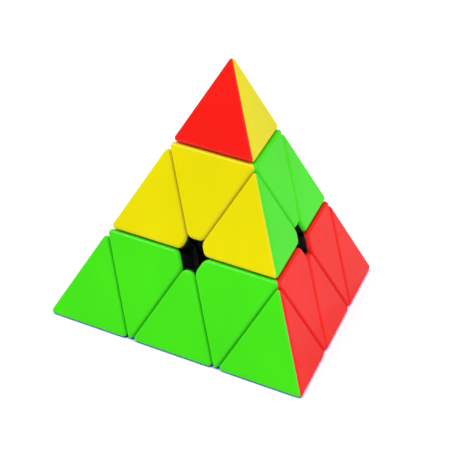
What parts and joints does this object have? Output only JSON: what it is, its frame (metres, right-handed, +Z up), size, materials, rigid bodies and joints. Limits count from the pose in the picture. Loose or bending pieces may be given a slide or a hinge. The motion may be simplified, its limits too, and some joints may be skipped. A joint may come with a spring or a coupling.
{
  "type": "pyramid twisty puzzle",
  "caption": "Tetrahedral twist puzzle with coloured plastic shells; its upper layer and corner tips turn about spring-loaded axes on a ball core",
  "frame": {"origin": "centre of the core, where the four turning axes meet", "axes": "+Z up through the upper tip; the front face looks toward -Y; +X runs from the left corner to the right corner, along the base"},
  "size_m": [0.0984, 0.0853, 0.0804],
  "materials": {
    "red_plastic": "smooth gloss",
    "green_plastic": "smooth gloss",
    "yellow_plastic": "smooth gloss",
    "blue_plastic": "smooth gloss",
    "black_plastic": "satin moulded",
    "steel": "zinc plated"
  },
  "bodies": {
    "base_block": {"core": "black_plastic", "axis_screws": "steel", "spring_washers": "steel", "axis_springs": "steel", "left_centre_body": "black_plastic", "left_centre_base_shell": "blue_plastic", "left_centre_left_shell": "yellow_plastic", "left_centre_front_shell": "green_plastic", "right_centre_body": "black_plastic", "right_centre_base_shell": "blue_plastic", "right_centre_right_shell": "red_plastic", "right_centre_front_shell": "green_plastic", "rear_centre_body": "black_plastic", "rear_centre_base_shell": "blue_plastic", "rear_centre_right_shell": "red_plastic", "rear_centre_left_shell": "yellow_plastic", "lower_front_edge_foot": "black_plastic", "lower_front_edge_base_shell": "blue_plastic", "lower_front_edge_front_shell": "green_plastic", "lower_left_edge_foot": "black_plastic", "lower_left_edge_base_shell": "blue_plastic", "lower_left_edge_left_shell": "yellow_plastic", "lower_right_edge_foot": "black_plastic", "lower_right_edge_base_shell": "blue_plastic", "lower_right_edge_right_shell": "red_plastic"},
    "upper_layer": {"upper_centre_body": "black_plastic", "upper_centre_right_shell": "green_plastic", "upper_centre_left_shell": "red_plastic", "upper_centre_front_shell": "yellow_plastic", "upper_left_edge_foot": "black_plastic", "upper_left_edge_left_shell": "red_plastic", "upper_left_edge_front_shell": "yellow_plastic", "upper_right_edge_foot": "black_plastic", "upper_right_edge_right_shell": "green_plastic", "upper_right_edge_front_shell": "yellow_plastic", "upper_rear_edge_foot": "black_plastic", "upper_rear_edge_right_shell": "green_plastic", "upper_rear_edge_left_shell": "red_plastic"},
    "upper_tip": {"upper_tip_hub": "black_plastic", "upper_tip_right_shell": "yellow_plastic", "upper_tip_left_shell": "green_plastic", "upper_tip_front_shell": "red_plastic"},
    "left_tip": {"left_tip_hub": "black_plastic", "left_tip_base_shell": "blue_plastic", "left_tip_left_shell": "yellow_plastic", "left_tip_front_shell": "green_plastic"},
    "right_tip": {"right_tip_hub": "black_plastic", "right_tip_base_shell": "blue_plastic", "right_tip_right_shell": "red_plastic", "right_tip_front_shell": "green_plastic"},
    "rear_tip": {"rear_tip_hub": "black_plastic", "rear_tip_base_shell": "blue_plastic", "rear_tip_right_shell": "red_plastic", "rear_tip_left_shell": "yellow_plastic"}
  },
  "joints": [
    {"name": "upper_layer_turn", "type": "hinge", "parent": "base_block", "child": "upper_layer", "pos_m": [0, 0, 0], "axis": [0, 0, 1], "continuous": true},
    {"name": "upper_tip_turn", "type": "hinge", "parent": "upper_layer", "child": "upper_tip", "pos_m": [0, 0, 0], "axis": [0, 0, 1], "continuous": true},
    {"name": "left_tip_turn", "type": "hinge", "parent": "base_block", "child": "left_tip", "pos_m": [0, 0, 0], "axis": [-0.8165, -0.4714, -0.3333], "continuous": true},
    {"name": "right_tip_turn", "type": "hinge", "parent": "base_block", "child": "right_tip", "pos_m": [0, 0, 0], "axis": [0.8165, -0.4714, -0.3333], "continuous": true},
    {"name": "rear_tip_turn", "type": "hinge", "parent": "base_block", "child": "rear_tip", "pos_m": [0, 0, 0], "axis": [0, 0.9428, -0.3333], "continuous": true}
  ]
}
